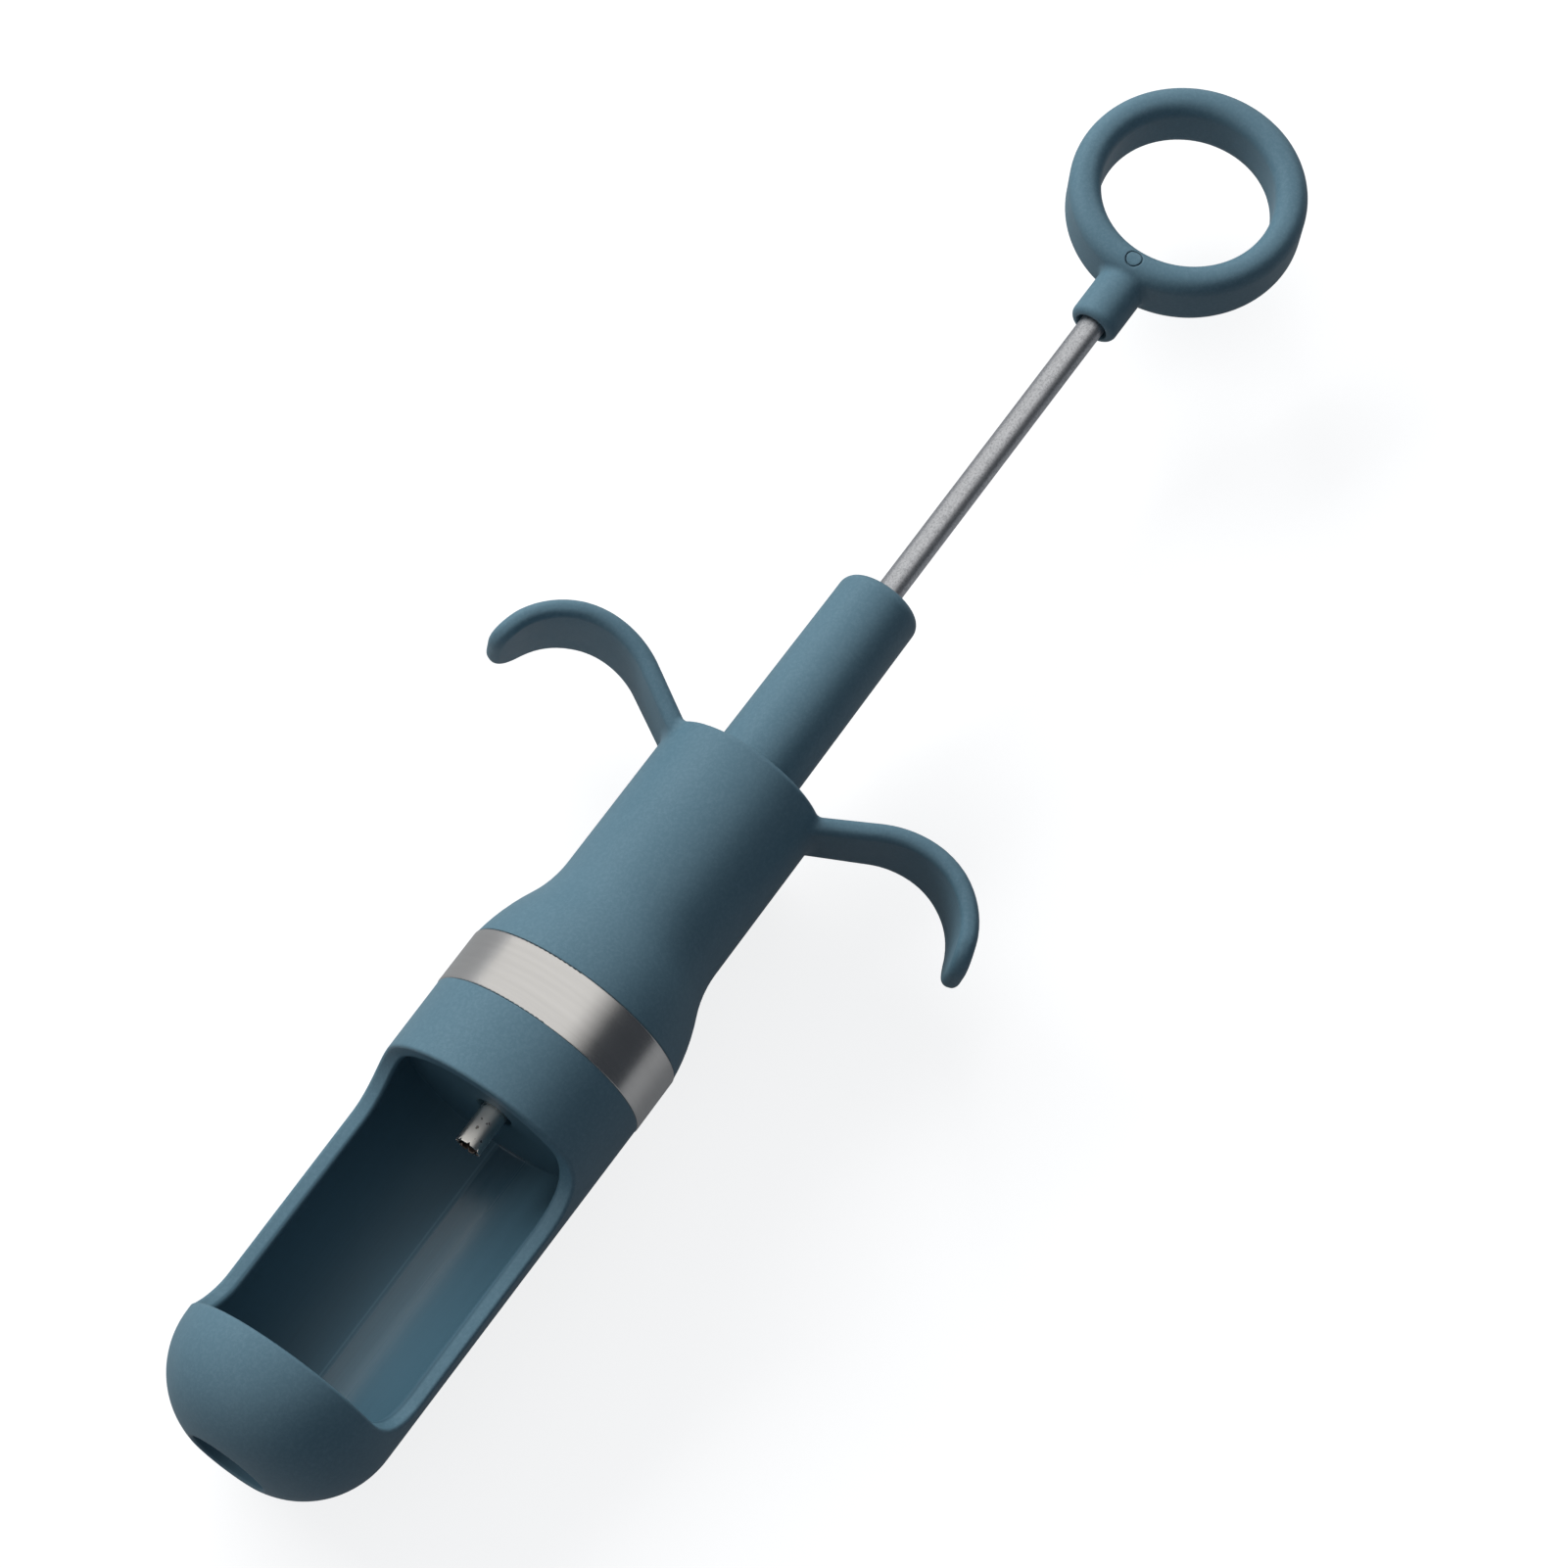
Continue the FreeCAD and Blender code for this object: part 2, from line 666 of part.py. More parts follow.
def make_joint_seal():
    """The O-ring in the groove of the spigot."""
    body = new_body("joint_seal")
    sketch = body.newObject("Sketcher::SketchObject", "seal_section_circle")
    sketch.AttachmentSupport = [(plane_of(body, "XY_Plane"), "")]
    sketch.MapMode = "FlatFace"
    add_circle(sketch, SEAL_CENTRE, SEAL_RADIUS, dim("seal_section"))
    feature = body.newObject("PartDesign::Revolution", "seal_ring")
    feature.Profile = sketch
    feature.ReferenceAxis = (sketch, ["H_Axis"])
    feature.Angle = 360
    doc.recompute()
    return body


def make_return_spring():
    """The compression spring round the tube, between its two washers."""
    body = new_body("return_spring")
    wire = dim("spring_wire")
    sketch = body.newObject("Sketcher::SketchObject", "wire_section")
    sketch.AttachmentSupport = [(plane_of(body, "XY_Plane"), "")]
    sketch.MapMode = "FlatFace"
    add_circle(sketch, SPRING_START + wire / 2, dim("spring_radius"), wire / 2)
    coil = body.newObject("PartDesign::AdditiveHelix", "coil")
    coil.Profile = sketch
    coil.ReferenceAxis = (sketch, ["H_Axis"])
    coil.Mode = "height-turns-angle"
    bind(coil, "Height", SPRING_END - SPRING_START - wire)
    bind(coil, "Turns", dim("spring_turns"))
    doc.recompute()
    return body


# ---------------------------------------------------------------- plunger
def make_plunger_tube():
    """The tube, with a crown of small teeth at its cutting tip."""
    body = new_body("plunger_tube")
    outer = dim("tube_radius")
    inner = outer - dim("tube_wall")
    depth, width = dim("tooth_depth"), dim("tooth_width")
    turn(body, "tube", [(TUBE_TIP, inner), (TUBE_END, inner), (TUBE_END, outer), (TUBE_TIP, outer)])
    before = body.Shape.Volume
    outline = draw(body, "tooth_gap_outline", "XY_Plane", [
        (TUBE_TIP - depth, ZERO - width),
        (TUBE_TIP + depth, ZERO),
        (TUBE_TIP - depth, width),
    ])
    gap = body.newObject("PartDesign::Pocket", "tooth_gap")
    gap.Profile = outline
    gap.Reversed = True
    bind(gap, "Length", outer * 2)
    doc.recompute()
    check_cut(body, "tooth gap", before)
    crown = body.newObject("PartDesign::PolarPattern", "crown")
    crown.Originals = [gap]
    crown.Axis = (plane_of(body, "X_Axis"), [""])
    crown.Angle = 360
    bind(crown, "Occurrences", dim("tooth_count"))
    body.Tip = crown
    doc.recompute()
    return body


def make_thumb_ring():
    """The ring for the thumb, with the collar that takes the tube."""
    body = new_body("thumb_ring", dim("ring_clock"))
    radius, half = dim("ring_radius"), dim("ring_half_thickness")
    depth = dim("ring_half_depth")
    section = draw(body, "ring_section", "XZ_Plane", [
        (radius - half, ZERO - depth),
        (radius + half, ZERO - depth),
        (radius + half, depth),
        (radius - half, depth),
    ])
    section.setExpression("AttachmentOffset.Base.x", RING_CENTRE.formula)
    hoop = body.newObject("PartDesign::Revolution", "hoop")
    hoop.Profile = section
    hoop.ReferenceAxis = (section, ["V_Axis"])
    hoop.Angle = 360
    doc.recompute()
    rims = [radius - half, radius + half]
    fillet(body, hoop, "hoop_edges", half - dim("ring_flat"),
           lambda edge: any(is_circle(edge, rim) for rim in rims))
    collar, edge = dim("collar_radius"), dim("collar_edge")
    collar_end = RING_CENTRE - radius
    stem = turn(body, "collar", [
        (COLLAR_START, ZERO),
        (collar_end, ZERO),
        (collar_end, collar),
        (COLLAR_START + edge, collar, edge, 1),
        (COLLAR_START, collar - edge),
    ])
    ring_start = collar_end - half

    def is_collar_root(corner):
        """A corner where the collar's side runs out on the hoop."""
        return corner.X > ring_start.number - 1e-3 and near(math.hypot(corner.Y, corner.Z), collar)

    fillet(body, stem, "collar_root", dim("collar_root_fillet"),
           lambda edge: all(is_collar_root(corner) for corner in edge.Vertexes))
    mark = body.newObject("Sketcher::SketchObject", "gate_mark_rings")
    mark.AttachmentSupport = [(plane_of(body, "XY_Plane"), "")]
    mark.MapMode = "FlatFace"
    bind(mark, "AttachmentOffset.Base.z", depth)
    add_circle(mark, collar_end, ZERO, dim("gate_mark_radius"))
    add_circle(mark, collar_end, ZERO, dim("gate_mark_radius") - dim("gate_mark_width"))
    before = body.Shape.Volume
    groove = body.newObject("PartDesign::Pocket", "gate_mark")
    groove.Profile = mark
    bind(groove, "Length", dim("gate_mark_depth"))
    doc.recompute()
    check_cut(body, "gate_mark", before)
    mouth = dim("tube_radius") + dim("socket_mouth_gap")
    bore(body, "socket", [
        (COLLAR_START - edge, ZERO),
        (TUBE_END, ZERO),
        (TUBE_END, TUBE_FIT),
        (SOCKET_MOUTH_END, TUBE_FIT),
        (SOCKET_MOUTH_END, mouth),
        (COLLAR_START - edge, mouth),
    ])
    return body


pieces = [
    make_fruit_chamber(),
    make_steel_band(),
    make_grip_housing(),
    make_guide_disc(),
    make_joint_seal(),
    make_return_spring(),
    make_plunger_tube(),
    make_thumb_ring(),
    sleeve("rod_wiper", WIPER_START, LIP_INNER, TUBE_GUIDE, NECK_FIT),
    sleeve("neck_bush", BUSH_START, WIPER_START, TUBE_GUIDE, NECK_FIT),
    sleeve("stop_bumper", BUMPER_START, BUSH_START, BUMPER_HOLE, BUMPER_RADIUS),
    sleeve("stop_collar", STOP_START, STOP_END, TUBE_FIT, STOP_RADIUS),
    sleeve("upper_spring_washer", UPPER_WASHER_START, UPPER_WASHER_END, TUBE_WASHER_HOLE, WASHER_RADIUS),
    sleeve("lower_spring_washer", LOWER_WASHER_START, LOWER_WASHER_END, BOSS_WASHER_HOLE, WASHER_RADIUS),
]

# ---------------------------------------------------------------- checks and files
for item in doc.Objects:
    if "Invalid" in item.State or "Error" in item.State:
        raise RuntimeError(f"{item.Label} failed: {item.State}")
for piece in pieces:
    if piece.Shape.isNull() or not piece.Shape.isValid() or len(piece.Shape.Solids) != 1:
        raise RuntimeError(f"{piece.Label} has no single valid solid")

os.makedirs("parts", exist_ok=True)
for piece in pieces:
    piece.Shape.exportStep(f"parts/{piece.Label}.step")
    print(f"{piece.Label}: {piece.Shape.Volume:.1f} mm3")
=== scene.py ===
"""The looks of the plunger cherry pitter: finishes, coil spring, screw thread, studio and camera.

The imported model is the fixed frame. It lies along X, the pit outlet at low X, the thumb ring at high X,
the finger hooks along Y, on the floor at z = 0. All sizes are in metres.
"""
import math

import bpy
from mathutils import Matrix, Vector


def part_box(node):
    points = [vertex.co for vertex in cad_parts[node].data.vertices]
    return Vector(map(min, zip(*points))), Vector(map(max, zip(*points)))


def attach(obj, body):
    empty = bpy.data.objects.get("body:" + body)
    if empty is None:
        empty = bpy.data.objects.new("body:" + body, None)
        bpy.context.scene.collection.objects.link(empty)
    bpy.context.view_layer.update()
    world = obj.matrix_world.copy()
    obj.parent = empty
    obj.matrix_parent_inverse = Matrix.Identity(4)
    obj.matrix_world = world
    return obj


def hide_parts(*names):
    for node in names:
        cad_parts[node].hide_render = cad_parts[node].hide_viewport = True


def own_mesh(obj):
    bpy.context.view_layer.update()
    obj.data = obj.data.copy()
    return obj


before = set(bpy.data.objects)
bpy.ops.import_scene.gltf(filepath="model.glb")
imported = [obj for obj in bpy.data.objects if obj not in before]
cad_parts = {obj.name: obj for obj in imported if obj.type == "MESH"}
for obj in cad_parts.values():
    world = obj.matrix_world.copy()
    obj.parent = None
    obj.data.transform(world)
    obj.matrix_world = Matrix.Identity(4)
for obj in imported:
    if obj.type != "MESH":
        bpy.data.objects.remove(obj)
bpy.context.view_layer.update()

MM = 0.001
COLOUR_A, COLOUR_B = 6, 7  # the colour inputs of a Mix node

# ---------------------------------------------------------------- places taken from the frame
BAND_LOW, BAND_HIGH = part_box("steel_band")
SPRING_LOW, SPRING_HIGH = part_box("return_spring")
AXIS_Z = (BAND_LOW.z + BAND_HIGH.z) / 2
SPIGOT_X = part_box("grip_housing")[0].x
BARREL_WALL = 2.65 * MM
BORE_RADIUS = BAND_HIGH.y - BARREL_WALL
DOME_DEPTH = 14 * MM
DOME_CENTRE_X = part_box("fruit_chamber")[0].x + DOME_DEPTH
TIP_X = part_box("plunger_tube")[0].x
TUBE_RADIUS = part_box("plunger_tube")[1].y

# Marks in the bore, as angles about the tool's axis in radians, counted from +Y towards +Z.
STRIPE_FADES_IN = (-2.25, -2.00)
STRIPE_FADES_OUT = (-1.73, -1.70)
# A painted highlight: a thin lighter line along the bore at this angle.
HIGHLIGHT_LINE_AT = -1.68
HIGHLIGHT_LINE_FADES = (0.004, 0.014)


# ---------------------------------------------------------------- material helpers
class Nodes:
    """A new material's node tree, with short calls for the nodes that the finishes need."""

    def __init__(self, name):
        self.material = bpy.data.materials.new(name)
        self.material.use_nodes = True
        self.tree = self.material.node_tree
        self.shader = self.tree.nodes["Principled BSDF"]
        self.place = self.tree.nodes.new("ShaderNodeTexCoord").outputs["Object"]

    def link(self, source, target):
        self.tree.links.new(source, target)

    def add(self, kind, inputs=(), **settings):
        """A node with its settings made and its inputs linked, or set where a plain value is given."""
        node = self.tree.nodes.new(kind)
        for name, value in settings.items():
            setattr(node, name, value)
        for name, value in dict(inputs).items():
            if isinstance(value, bpy.types.NodeSocket):
                self.link(value, node.inputs[name])
            else:
                node.inputs[name].default_value = value
        return node

    def math(self, operation, first, second=0.0):
        return self.add("ShaderNodeMath", {0: first, 1: second}, operation=operation).outputs[0]

    def noise(self, scale, detail=2.0, roughness=0.5, place=None):
        """A noise from 0 to 1, its scale in grains per metre."""
        inputs = {"Vector": place or self.place, "Scale": scale, "Detail": detail, "Roughness": roughness}
        return self.add("ShaderNodeTexNoise", inputs).outputs["Fac"]

    def spread(self, value, low, high, from_low=0.3, from_high=0.7):
        """The value's range from_low to from_high, carried over to low to high."""
        inputs = {0: value, 1: from_low, 2: from_high, 3: low, 4: high}
        return self.add("ShaderNodeMapRange", inputs).outputs[0]

    def mix(self, factor, first, second):
        """A colour between two. Each is a socket or three numbers."""
        node = self.tree.nodes.new("ShaderNodeMix")
        node.data_type = "RGBA"
        self.link(factor, node.inputs[0])
        for index, value in ((COLOUR_A, first), (COLOUR_B, second)):
            if isinstance(value, bpy.types.NodeSocket):
                self.link(value, node.inputs[index])
            else:
                node.inputs[index].default_value = (*value, 1.0)
        return node.outputs[2]

    def bump(self, height, distance, strength=1.0, normal=None):
        """A normal from a height map that is that deep."""
        inputs = {"Height": height, "Distance": distance, "Strength": strength}
        if normal is not None:
            inputs["Normal"] = normal
        return self.add("ShaderNodeBump", inputs).outputs["Normal"]

    def parts(self):
        """The place's part along the tool's axis, and its parts across it: level and upright."""
        parts = self.add("ShaderNodeSeparateXYZ", {0: self.place}).outputs
        return parts["X"], parts["Y"], self.math("SUBTRACT", parts["Z"], AXIS_Z)

    def length(self, *sides):
        """The length of a vector, from its parts at right angles."""
        total = self.math("MULTIPLY", sides[0], sides[0])
        for side in sides[1:]:
            total = self.math("ADD", total, self.math("MULTIPLY", side, side))
        return self.math("SQRT", total)

    def around_axis(self, along, around, outward):
        """A place as parts along the tool's axis, around it and outward, each with its own scale."""
        axial, level, upright = self.parts()
        inputs = {
            0: self.math("MULTIPLY", axial, along),
            1: self.math("MULTIPLY", self.math("ARCTAN2", upright, level), around),
            2: self.math("MULTIPLY", self.length(level, upright), outward),
        }
        return self.add("ShaderNodeCombineXYZ", inputs).outputs[0]

    def soft_edges(self, radius):
        """A normal that rounds sharp edges to that radius."""
        return self.add("ShaderNodeBevel", {"Radius": radius}, samples=6).outputs["Normal"]

    def edge_highlight_mask(self, rounded):
        """0 on open surfaces, up to 1 on sharp edges, where the rounded normal leaves the true one."""
        flat = self.add("ShaderNodeNewGeometry").outputs["Normal"]
        product = self.add("ShaderNodeVectorMath", {0: rounded, 1: flat}, operation="DOT_PRODUCT")
        return self.spread(product.outputs["Value"], 1.0, 0.0, 0.80, 0.98)

    def finish(self, colour, roughness, normal, **constants):
        """Links the shader's colour, roughness and normal, and sets its other values."""
        self.link(colour, self.shader.inputs["Base Color"])
        self.link(roughness, self.shader.inputs["Roughness"])
        self.link(normal, self.shader.inputs["Normal"])
        for name, value in constants.items():
            self.shader.inputs[name.replace("_", " ")].default_value = value
        return self.material


# ---------------------------------------------------------------- finishes
def blue_plastic(name):
    """The parts of a matte slate blue coating: fine grain, and sharp edges made a little lighter in colour, a
    painted highlight.
    """
    n = Nodes(name)
    clouds = n.noise(55.0, 3.0, 0.6)
    grain = n.noise(2000.0, 2.0, 0.7)
    specks = n.noise(900.0, 3.0, 0.7)
    rubbed = n.noise(120.0, 3.0, 0.6)
    rounded = n.soft_edges(0.35 * MM)
    colour = n.mix(n.spread(clouds, 0.0, 1.0), (0.097, 0.194, 0.252), (0.105, 0.206, 0.266))
    colour = n.mix(n.spread(grain, 0.0, 0.55, 0.42, 0.70), colour, (0.150, 0.262, 0.330))
    colour = n.mix(n.spread(specks, 0.0, 0.25, 0.62, 0.8), colour, (0.160, 0.270, 0.335))
    # Painted highlight: sharp edges are lightened in the base colour.
    colour = n.mix(n.spread(n.edge_highlight_mask(rounded), 0.0, 0.35, 0.0, 1.0), colour, (0.20, 0.32, 0.39))
    roughness = n.math("ADD", n.spread(rubbed, 0.46, 0.54), n.spread(grain, -0.03, 0.03))
    return n, rounded, grain, colour, roughness


def soft_touch_blue():
    """The coating of the grip and the thumb ring."""
    n, rounded, grain, colour, roughness = blue_plastic("soft_touch_blue")
    return n.finish(colour, roughness, n.bump(grain, 0.03 * MM, 0.5, rounded), Specular_IOR_Level=0.6)


def barrel_blue():
    """The same coating outside. The bore is coloured darker, a painted shade, with a polished stripe and a thin
    painted highlight line.
    """
    n, rounded, grain, colour, roughness = blue_plastic("barrel_blue")
    axial, level, upright = n.parts()
    in_dome = n.math("MINIMUM", n.math("SUBTRACT", axial, DOME_CENTRE_X), 0.0)
    from_middle = n.length(in_dome, level, upright)
    outside_bore = n.spread(from_middle, 0.0, 1.0, BORE_RADIUS + 0.2 * MM, BORE_RADIUS + 0.5 * MM)
    from_axis = n.length(level, upright)
    on_wall = n.spread(from_axis, 0.0, 1.0, BORE_RADIUS - 1.2 * MM, BORE_RADIUS - 0.8 * MM)
    angle = n.math("ARCTAN2", upright, level)
    after_start = n.spread(angle, 0.0, 1.0, *STRIPE_FADES_IN)
    before_end = n.spread(angle, 1.0, 0.0, *STRIPE_FADES_OUT)
    stripe = n.math("MULTIPLY", n.math("MULTIPLY", after_start, before_end), on_wall)
    beside = n.math("ABSOLUTE", n.math("ADD", angle, -HIGHLIGHT_LINE_AT))
    # Painted highlight: a thin lighter line of colour along the bore.
    highlight_line = n.math("MULTIPLY", n.spread(beside, 0.7, 0.0, *HIGHLIGHT_LINE_FADES), on_wall)
    scratches = n.noise(1.0, 3.0, 0.7, n.around_axis(40.0, 60.0, 300.0))
    # Painted shade: the bore's colour is darker than the coat outside.
    bore_painted_light = n.mix(n.spread(scratches, 0.0, 1.0), (0.056, 0.124, 0.168), (0.064, 0.138, 0.186))
    bore_painted_light = n.mix(highlight_line, bore_painted_light, (0.125, 0.225, 0.285))
    dull = n.spread(scratches, 0.56, 0.64)
    inside = n.math("SUBTRACT", dull, n.math("MULTIPLY", stripe, n.spread(scratches, 0.42, 0.36)))
    roughness = n.math("ADD", inside, n.math("MULTIPLY", outside_bore, n.math("SUBTRACT", roughness, inside)))
    height = n.math("MULTIPLY", grain, n.spread(outside_bore, 0.15, 1.0, 0.0, 1.0))
    normal = n.bump(height, 0.03 * MM, 0.5, rounded)
    return n.finish(n.mix(outside_bore, bore_painted_light, colour), roughness, normal, Specular_IOR_Level=0.6)


def satin_steel():
    """Rolled trim band: faint lines that run round it, with smudges."""
    n = Nodes("satin_steel")
    lines = n.noise(1.0, 3.0, 0.7, n.around_axis(9000.0, 1.2, 300.0))
    broad = n.noise(1.0, 2.0, 0.5, n.around_axis(1400.0, 0.8, 100.0))
    smudges = n.noise(160.0, 3.0, 0.6)
    colour = n.mix(n.spread(broad, 0.0, 1.0), (0.685, 0.675, 0.665), (0.725, 0.715, 0.705))
    roughness = n.math("ADD", n.spread(smudges, 0.22, 0.26), n.spread(lines, -0.02, 0.02))
    normal = n.bump(lines, 0.004 * MM, 0.2, n.soft_edges(0.2 * MM))
    return n.finish(colour, roughness, normal, Metallic=1.0)


def tube_steel():
    """Drawn stainless tube with a fine grain. Its tip is polished and coloured lighter, a painted highlight,
    with specks of juice; inside it is coloured dark, a painted shade with a brown juice stain.
    """
    n = Nodes("tube_steel")
    lines = n.noise(1.0, 3.0, 0.7, n.around_axis(60.0, 14.0, 900.0))
    scuffs = n.noise(1.0, 4.0, 0.7, n.around_axis(500.0, 2.0, 200.0))
    grain = n.noise(3200.0, 2.0, 0.7)
    colour = n.mix(n.spread(lines, 0.0, 1.0), (0.61, 0.625, 0.655), (0.69, 0.705, 0.735))
    colour = n.mix(n.spread(grain, 0.0, 0.8, 0.43, 0.72), colour, (0.34, 0.35, 0.375))
    axial, level, upright = n.parts()
    near_tip = n.spread(axial, 1.0, 0.0, TIP_X + 7 * MM, TIP_X + 10 * MM)
    # Painted highlight: the tip is made lighter in colour.
    colour = n.mix(near_tip, colour, (0.98, 0.96, 0.92))
    specks = n.spread(n.noise(1500.0, 1.0, 0.5), 0.0, 0.7, 0.68, 0.73)
    juice = n.math("MULTIPLY", near_tip, specks)
    from_axis = n.length(level, upright)
    # Painted shade with a brown juice stain: the tube's inner surface is darkened.
    inside_shade_and_stain = n.spread(from_axis, 0.9, 0.0, TUBE_RADIUS - 0.12 * MM, TUBE_RADIUS - 0.03 * MM)
    colour = n.mix(n.math("MAXIMUM", juice, inside_shade_and_stain), colour, (0.10, 0.06, 0.045))
    drawn = n.math("ADD", n.spread(scuffs, 0.40, 0.46), n.spread(grain, -0.04, 0.04))
    drawn_share = n.math("MULTIPLY", drawn, n.math("SUBTRACT", 1.0, near_tip))
    roughness = n.math("ADD", drawn_share, n.math("MULTIPLY", near_tip, 0.34))
    normal = n.bump(lines, 0.006 * MM, 0.5, n.soft_edges(0.15 * MM))
    return n.finish(colour, roughness, normal, Metallic=1.0)


def spring_steel():
    """Drawn spring wire, slightly darker than the tube."""
    n = Nodes("spring_steel")
    draw_marks = n.noise(1.0, 3.0, 0.6, n.around_axis(900.0, 6.0, 900.0))
    oil = n.noise(300.0, 3.0, 0.6)
    colour = n.mix(n.spread(oil, 0.0, 1.0), (0.33, 0.33, 0.33), (0.45, 0.45, 0.44))
    roughness = n.spread(draw_marks, 0.28, 0.40)
    normal = n.bump(draw_marks, 0.01 * MM, 0.4)
    return n.finish(colour, roughness, normal, Metallic=1.0)


def white_acetal():
    """Turned acetal of the guides: slippery, with fine tool marks round the axis."""
    n = Nodes("white_acetal")
    marks = n.noise(1.0, 2.0, 0.6, n.around_axis(5000.0, 0.8, 5000.0))
    clouds = n.noise(140.0, 3.0, 0.6)
    colour = n.mix(n.spread(clouds, 0.0, 1.0), (0.70, 0.69, 0.66), (0.78, 0.77, 0.74))
    roughness = n.spread(marks, 0.30, 0.40)
    normal = n.bump(marks, 0.01 * MM, 0.4)
    return n.finish(colour, roughness, normal, Specular_IOR_Level=0.5)


def black_rubber():
    """Moulded nitrile rubber: dusty, with a fine grain."""
    n = Nodes("black_rubber")
    grain = n.noise(3000.0, 2.0, 0.6)
    dust = n.noise(420.0, 4.0, 0.7)
    colour = n.mix(n.spread(dust, 0.0, 1.0), (0.012, 0.012, 0.013), (0.035, 0.035, 0.036))
    roughness = n.spread(dust, 0.60, 0.78)
    normal = n.bump(grain, 0.03 * MM, 0.5)
    return n.finish(colour, roughness, normal, Specular_IOR_Level=0.35)


FINISHES = {
    "soft_touch_blue": (soft_touch_blue(), ["grip_housing", "thumb_ring"]),
    "barrel_blue": (barrel_blue(), ["fruit_chamber"]),
    "satin_steel": (satin_steel(), ["steel_band", "stop_collar", "lower_spring_washer", "upper_spring_washer"]),
    "tube_steel": (tube_steel(), ["plunger_tube"]),
    "spring_steel": (spring_steel(), ["return_spring"]),
    "white_acetal": (white_acetal(), ["guide_disc", "neck_bush"]),
    "black_rubber": (black_rubber(), ["joint_seal", "rod_wiper", "stop_bumper"]),
}

for material, names in FINISHES.values():
    for name in names:
        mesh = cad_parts[name].data
        mesh.materials.clear()
        mesh.materials.append(material)


# ---------------------------------------------------------------- pieces made here
def sweep(name, rings, slot, body):
    """A closed smooth mesh through equal rings of points, with a flat cap at each end."""
    size = len(rings[0])
    faces = []
    for step in range(len(rings) - 1):
        for side in range(size):
            this, following = step * size + side, step * size + (side + 1) % size
            faces.append((this, following, following + size, this + size))
    faces.append(tuple(reversed(range(size))))
    faces.append(tuple(range((len(rings) - 1) * size, len(rings) * size)))
    mesh = bpy.data.meshes.new(name)
    mesh.from_pydata([tuple(point) for ring in rings for point in ring], [], faces)
    mesh.materials.append(FINISHES[slot][0])
    piece = bpy.data.objects.new(name, mesh)
    bpy.context.scene.collection.objects.link(piece)
    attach(piece, body)
    return piece


def on_cylinder(x, radius, angle):
    """A point at that radius and angle about the tool's axis, the angle counted from +Y towards +Z."""
    return Vector((x, radius * math.cos(angle), AXIS_Z + radius * math.sin(angle)))


def make_spring():
    """The return spring's coil, with closed first and last turns and even turns between."""
    wire_radius = 0.3 * MM
    closed_pitch = 2 * wire_radius
    turns, closed = 23.0, 1.0
    open_turns = turns - 2 * closed
    coil_radius = (SPRING_HIGH.y - SPRING_LOW.y) / 2 - wire_radius
    start, end = SPRING_LOW.x + wire_radius, SPRING_HIGH.x - wire_radius
    open_pitch = (end - start - 2 * closed * closed_pitch) / open_turns
    steps, sides = 26, 10
    rings = []
    for step in range(int(turns * steps) + 1):
        turn = step / steps
        x = start + closed_pitch * min(turn, closed)
        x += open_pitch * min(max(turn - closed, 0.0), open_turns)
        x += closed_pitch * max(turn - (turns - closed), 0.0)
        angle = turn * 2 * math.pi
        ring = []
        for side in range(sides):
            lean = side * 2 * math.pi / sides
            along, out = wire_radius * math.sin(lean), wire_radius * math.cos(lean)
            ring.append(on_cylinder(x + along, coil_radius + out, angle))
        rings.append(ring)
    piece = sweep("spring_coil", rings, "spring_steel", "grip")
    for face in piece.data.polygons:
        face.use_smooth = len(face.vertices) == 4
    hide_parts("return_spring")
    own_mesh(piece)


def make_thread(name, start, turns, root, crest, body):
    """A right-hand screw ridge on a cylinder of the root radius, low at both ends.

    Its foot is sunk a little in the wall, which lies inside an outer thread and outside an inner one.
    """
    pitch, root_half, crest_half = 3.0 * MM, 0.65 * MM, 0.35 * MM
    sink = 0.05 * MM
    sunk = root - sink if crest > root else root + sink
    steps = 48
    ramp_steps = steps / 8
    lowest_share = 0.12
    count = int(turns * steps)
    rings = []
    for step in range(count + 1):
        angle = step / steps * 2 * math.pi
        x = start + pitch * step / steps
        share = min(step, count - step, ramp_steps) / ramp_steps
        height = sunk + (crest - sunk) * max(share, lowest_share)
        rings.append([
            on_cylinder(x - root_half, sunk, angle),
            on_cylinder(x - crest_half, height, angle),
            on_cylinder(x + crest_half, height, angle),
            on_cylinder(x + root_half, sunk, angle),
        ])
    sweep(name, rings, "soft_touch_blue", body)


make_spring()
make_thread("spigot_thread", SPIGOT_X + 1.1 * MM, turns=2.4, root=13.1 * MM, crest=13.5 * MM, body="grip")
make_thread("socket_thread", SPIGOT_X + 2.6 * MM, turns=1.75, root=13.6 * MM, crest=13.2 * MM, body="barrel")


# ---------------------------------------------------------------- studio
def add_camera():
    """The photograph's view: from above the outlet end, with the tool from lower left to upper right."""
    tilt, roll = math.radians(19.5), math.radians(4.6)
    axis_to_right, axis_to_top = 0.60275, 0.79793
    distance = 560 * MM
    along = Vector((1.0, 0.0, 0.0))
    normal = Vector((0.0, -math.sin(roll), math.cos(roll)))
    side = Vector((0.0, -math.cos(roll), -math.sin(roll)))
    axis_in_view = math.cos(tilt) * along + math.sin(tilt) * normal
    look = math.sin(tilt) * along - math.cos(tilt) * normal
    right = axis_to_right * axis_in_view + axis_to_top * side
    up = axis_to_top * axis_in_view - axis_to_right * side
    middle = Vector((SPIGOT_X + 58.6 * MM, 0.0, AXIS_Z))
    target = middle - (0.028 * axis_in_view - 4.578 * side) * MM
    camera = bpy.data.cameras.new("photo_camera")
    camera.sensor_width = 36.0
    camera.lens = 89.94
    camera.clip_start = 0.01
    item = bpy.data.objects.new("photo_camera", camera)
    bpy.context.scene.collection.objects.link(item)
    turned = Matrix((right, up, -look)).transposed().to_4x4()
    item.matrix_world = Matrix.Translation(target - distance * look) @ turned
    bpy.context.scene.camera = item


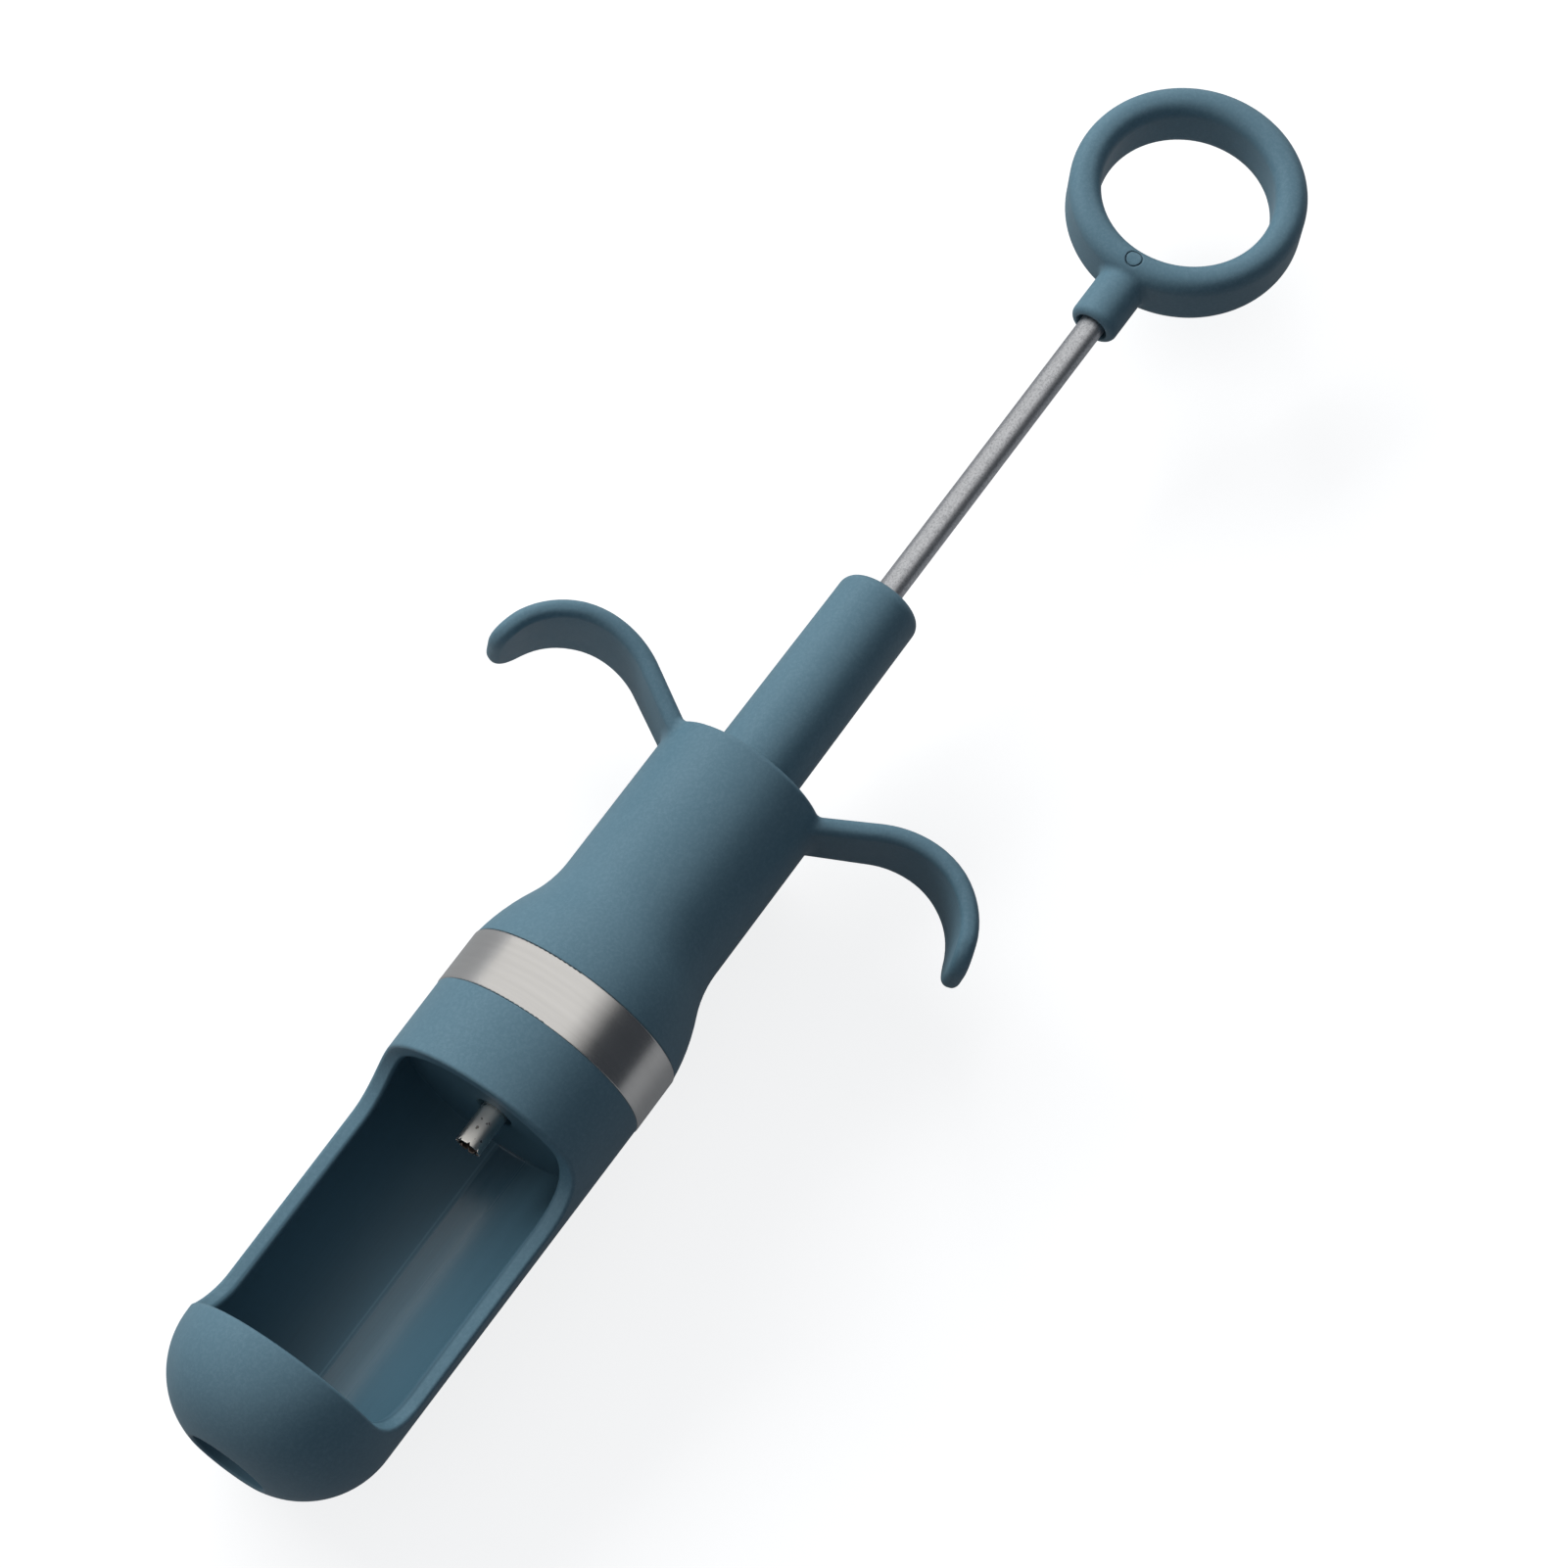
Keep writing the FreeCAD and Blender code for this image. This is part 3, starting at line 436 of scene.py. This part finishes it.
def add_softbox(name, place, width, height, radiance):
    """A rectangular soft light that faces the middle of the tool. It shows in no reflection."""
    light = bpy.data.lights.new(name, "AREA")
    light.shape = "RECTANGLE"
    light.size = width
    light.size_y = height
    light.energy = radiance * math.pi * width * height
    item = bpy.data.objects.new(name, light)
    bpy.context.scene.collection.objects.link(item)
    item.location = place
    item.rotation_euler = (Vector((0.0, 0.0, AXIS_Z)) - Vector(place)).to_track_quat("-Z", "Y").to_euler()
    item.visible_glossy = False


def add_floor():
    """A pale floor at z = 0 that keeps the shadow. The camera sees it nearly white."""
    half = 4.0
    corners = [(-half, -half, 0), (half, -half, 0), (half, half, 0), (-half, half, 0)]
    mesh = bpy.data.meshes.new("floor")
    mesh.from_pydata(corners, [], [(0, 1, 2, 3)])
    material = bpy.data.materials.new("floor_paint")
    material.use_nodes = True
    tree = material.node_tree
    tree.nodes.clear()
    paint = tree.nodes.new("ShaderNodeBsdfDiffuse")
    paint.inputs["Color"].default_value = (0.42, 0.42, 0.42, 1.0)
    white = tree.nodes.new("ShaderNodeEmission")
    path = tree.nodes.new("ShaderNodeLightPath")
    strength = None
    for ray, share in (("Is Camera Ray", 0.82), ("Is Glossy Ray", 0.10), ("Is Transmission Ray", 0.10)):
        part = tree.nodes.new("ShaderNodeMath")
        part.operation = "MULTIPLY_ADD"
        part.inputs[1].default_value = share
        part.inputs[2].default_value = 0.0
        tree.links.new(path.outputs[ray], part.inputs[0])
        if strength is not None:
            tree.links.new(strength, part.inputs[2])
        strength = part.outputs[0]
    total = tree.nodes.new("ShaderNodeAddShader")
    output = tree.nodes.new("ShaderNodeOutputMaterial")
    tree.links.new(strength, white.inputs["Strength"])
    tree.links.new(paint.outputs[0], total.inputs[0])
    tree.links.new(white.outputs[0], total.inputs[1])
    tree.links.new(total.outputs[0], output.inputs["Surface"])
    mesh.materials.append(material)
    floor = bpy.data.objects.new("floor", mesh)
    bpy.context.scene.collection.objects.link(floor)


def add_world():
    """A room that is brighter on the +X and +Y sides, a tent seen in reflections, and white for the camera."""
    world = bpy.data.worlds.new("studio")
    world.use_nodes = True
    tree = world.node_tree
    tree.nodes.clear()
    direction = tree.nodes.new("ShaderNodeTexCoord").outputs["Generated"]

    def graded(towards, start, end, dim, bright):
        """A background that goes from dim to bright as the direction turns towards the given one."""
        turn = tree.nodes.new("ShaderNodeVectorMath")
        turn.operation = "DOT_PRODUCT"
        turn.inputs[1].default_value = towards
        share = tree.nodes.new("ShaderNodeMapRange")
        share.inputs["From Min"].default_value = start
        share.inputs["From Max"].default_value = end
        colour = tree.nodes.new("ShaderNodeMix")
        colour.data_type = "RGBA"
        colour.inputs[COLOUR_A].default_value = (*dim, 1.0)
        colour.inputs[COLOUR_B].default_value = (*bright, 1.0)
        background = tree.nodes.new("ShaderNodeBackground")
        tree.links.new(direction, turn.inputs[0])
        tree.links.new(turn.outputs["Value"], share.inputs["Value"])
        tree.links.new(share.outputs[0], colour.inputs[0])
        tree.links.new(colour.outputs[2], background.inputs["Color"])
        return background

    fill = graded((0.5, 0.866, 0.0), -0.70, 0.74, (0.07, 0.09, 0.12), (0.38, 0.40, 0.42))
    tent = graded((0.0, 0.906, 0.423), -0.26, 0.20, (0.045, 0.050, 0.058), (0.86, 0.85, 0.83))
    white = tree.nodes.new("ShaderNodeBackground")
    white.inputs["Color"].default_value = (1.0, 1.0, 1.0, 1.0)
    path = tree.nodes.new("ShaderNodeLightPath")
    seen = fill.outputs[0]
    for ray, background in (("Is Glossy Ray", tent), ("Is Transmission Ray", tent), ("Is Camera Ray", white)):
        blend = tree.nodes.new("ShaderNodeMixShader")
        tree.links.new(path.outputs[ray], blend.inputs[0])
        tree.links.new(seen, blend.inputs[1])
        tree.links.new(background.outputs[0], blend.inputs[2])
        seen = blend.outputs[0]
    output = tree.nodes.new("ShaderNodeOutputWorld")
    tree.links.new(seen, output.inputs["Surface"])
    bpy.context.scene.world = world


add_camera()
add_softbox("key_light", place=(0.25, 0.77, 0.44), width=1.0, height=0.35, radiance=7.3)
add_floor()
add_world()
bpy.context.scene.view_settings.view_transform = "Standard"
